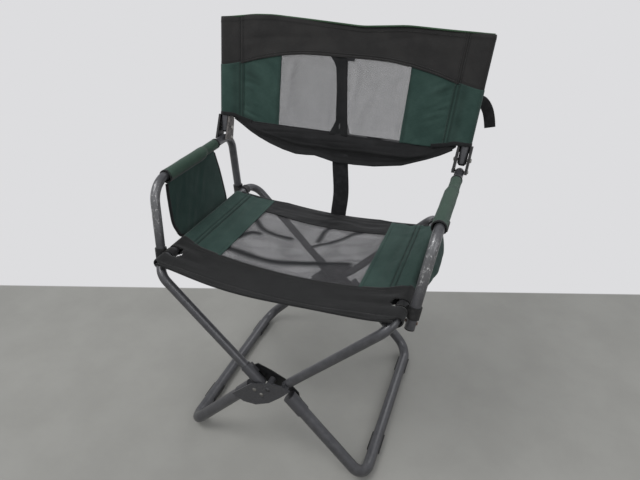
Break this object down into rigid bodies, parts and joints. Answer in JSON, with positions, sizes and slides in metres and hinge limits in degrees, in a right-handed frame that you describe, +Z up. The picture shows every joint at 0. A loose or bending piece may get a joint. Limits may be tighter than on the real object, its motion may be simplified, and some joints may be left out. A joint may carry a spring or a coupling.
{
  "type": "folding camp chair",
  "caption": "Folding camp chair with crossed tube frames at front and rear, padded-sleeve arms with side pouches, slung fabric seat and a fold-down fabric back.",
  "frame": {"origin": "on the floor, at the middle of the chair's width and depth", "axes": "+Z up; -Y out of the front, the way a sitter faces; +X to the right when looked at from the front"},
  "size_m": [0.6164, 0.4797, 0.8674],
  "materials": {
    "frame_paint": "dark grey hammered paint, semi-gloss",
    "hinge_steel": "black paint, satin",
    "rivet_steel": "dull plated steel",
    "black_plastic": "moulded, satin",
    "green_fabric": "woven polyester, dark bottle green",
    "black_fabric": "woven polyester, charcoal black",
    "seat_mesh": "open grey mesh",
    "back_mesh": "open grey see-through mesh",
    "webbing": "woven polypropylene webbing"
  },
  "bodies": {
    "frame_right": {"seat_loop_right": "frame_paint", "base_loop_left": "frame_paint", "hub_outer_bracket_front": "frame_paint", "hub_rivet_front": "rivet_steel", "hub_spacer_front": "black_plastic", "hub_plate_rivets_front": "rivet_steel", "hub_outer_bracket_rear": "frame_paint", "hub_rivet_rear": "rivet_steel", "hub_spacer_rear": "black_plastic", "hub_plate_rivets_rear": "rivet_steel", "foot_pad_front_left": "black_plastic", "foot_pad_rear_left": "black_plastic", "seat_side_left": "green_fabric", "seat_side_right": "green_fabric", "seat_front_band": "black_fabric", "seat_mesh": "seat_mesh", "seat_rear_band": "black_fabric"},
    "frame_left": {"seat_loop_left": "frame_paint", "base_loop_right": "frame_paint", "hub_inner_bracket_front": "frame_paint", "hub_inner_bracket_rear": "frame_paint", "foot_pad_front_right": "black_plastic", "foot_pad_rear_right": "black_plastic"},
    "arm_left": {"arm_loop_left": "frame_paint", "arm_knuckle_front_left": "black_plastic", "arm_knuckle_rear_left": "black_plastic", "arm_foot_rivet_left": "rivet_steel", "arm_foot_plugs_left": "black_plastic", "arm_sleeve_left": "green_fabric", "arm_pouch_left": "green_fabric", "hinge_channel_left": "hinge_steel", "hinge_channel_rivets_left": "rivet_steel", "hinge_pin_left": "rivet_steel"},
    "arm_right": {"arm_loop_right": "frame_paint", "arm_knuckle_front_right": "black_plastic", "arm_knuckle_rear_right": "black_plastic", "arm_foot_rivet_right": "rivet_steel", "arm_foot_plugs_right": "black_plastic", "arm_sleeve_right": "green_fabric", "arm_pouch_right": "green_fabric", "hinge_channel_right": "hinge_steel", "hinge_channel_rivets_right": "rivet_steel", "hinge_pin_right": "rivet_steel"},
    "post_right": {"back_post_right": "frame_paint", "back_post_cap_right": "black_plastic", "back_top_band": "black_fabric", "back_side_left": "green_fabric", "back_side_right": "green_fabric", "back_mesh_left": "back_mesh", "back_mesh_right": "back_mesh", "back_centre_strip": "black_fabric", "back_lower_band": "black_fabric", "back_strap": "webbing"},
    "post_left": {"back_post_left": "frame_paint", "back_post_cap_left": "black_plastic"}
  },
  "joints": [
    {"name": "fold", "type": "hinge", "parent": "frame_right", "child": "frame_left", "pos_m": [0, -0.005, 0.223], "axis": [0, 1, 0], "range_deg": [0, 78], "deforming": ["seat_side_left", "seat_side_right", "seat_front_band", "seat_mesh", "seat_rear_band", "back_top_band", "back_side_left", "back_side_right", "back_mesh_left", "back_mesh_right", "back_centre_strip", "back_lower_band", "back_strap"]},
    {"name": "arm_right_swing", "type": "hinge", "parent": "frame_right", "child": "arm_right", "pos_m": [0.2436, -0.005, 0.452], "axis": [0, 1, 0], "range_deg": [0, 39]},
    {"name": "arm_left_swing", "type": "hinge", "parent": "frame_left", "child": "arm_left", "pos_m": [-0.2436, -0.005, 0.452], "axis": [0, -1, 0], "range_deg": [0, 39]},
    {"name": "back_fold", "type": "hinge", "parent": "arm_right", "child": "post_right", "pos_m": [0.28328, 0.164, 0.61544], "axis": [1, 0, 0], "range_deg": [0, 100]},
    {"name": "back_fold_left", "type": "hinge", "parent": "arm_left", "child": "post_left", "pos_m": [-0.28328, 0.164, 0.61544], "axis": [1, 0, 0], "range_deg": [0, 100]}
  ],
  "couplings": [
    {"joint": "arm_right_swing", "follows": "fold", "ratio": 0.5},
    {"joint": "arm_left_swing", "follows": "fold", "ratio": 0.5},
    {"joint": "back_fold_left", "follows": "back_fold", "ratio": 1}
  ]
}
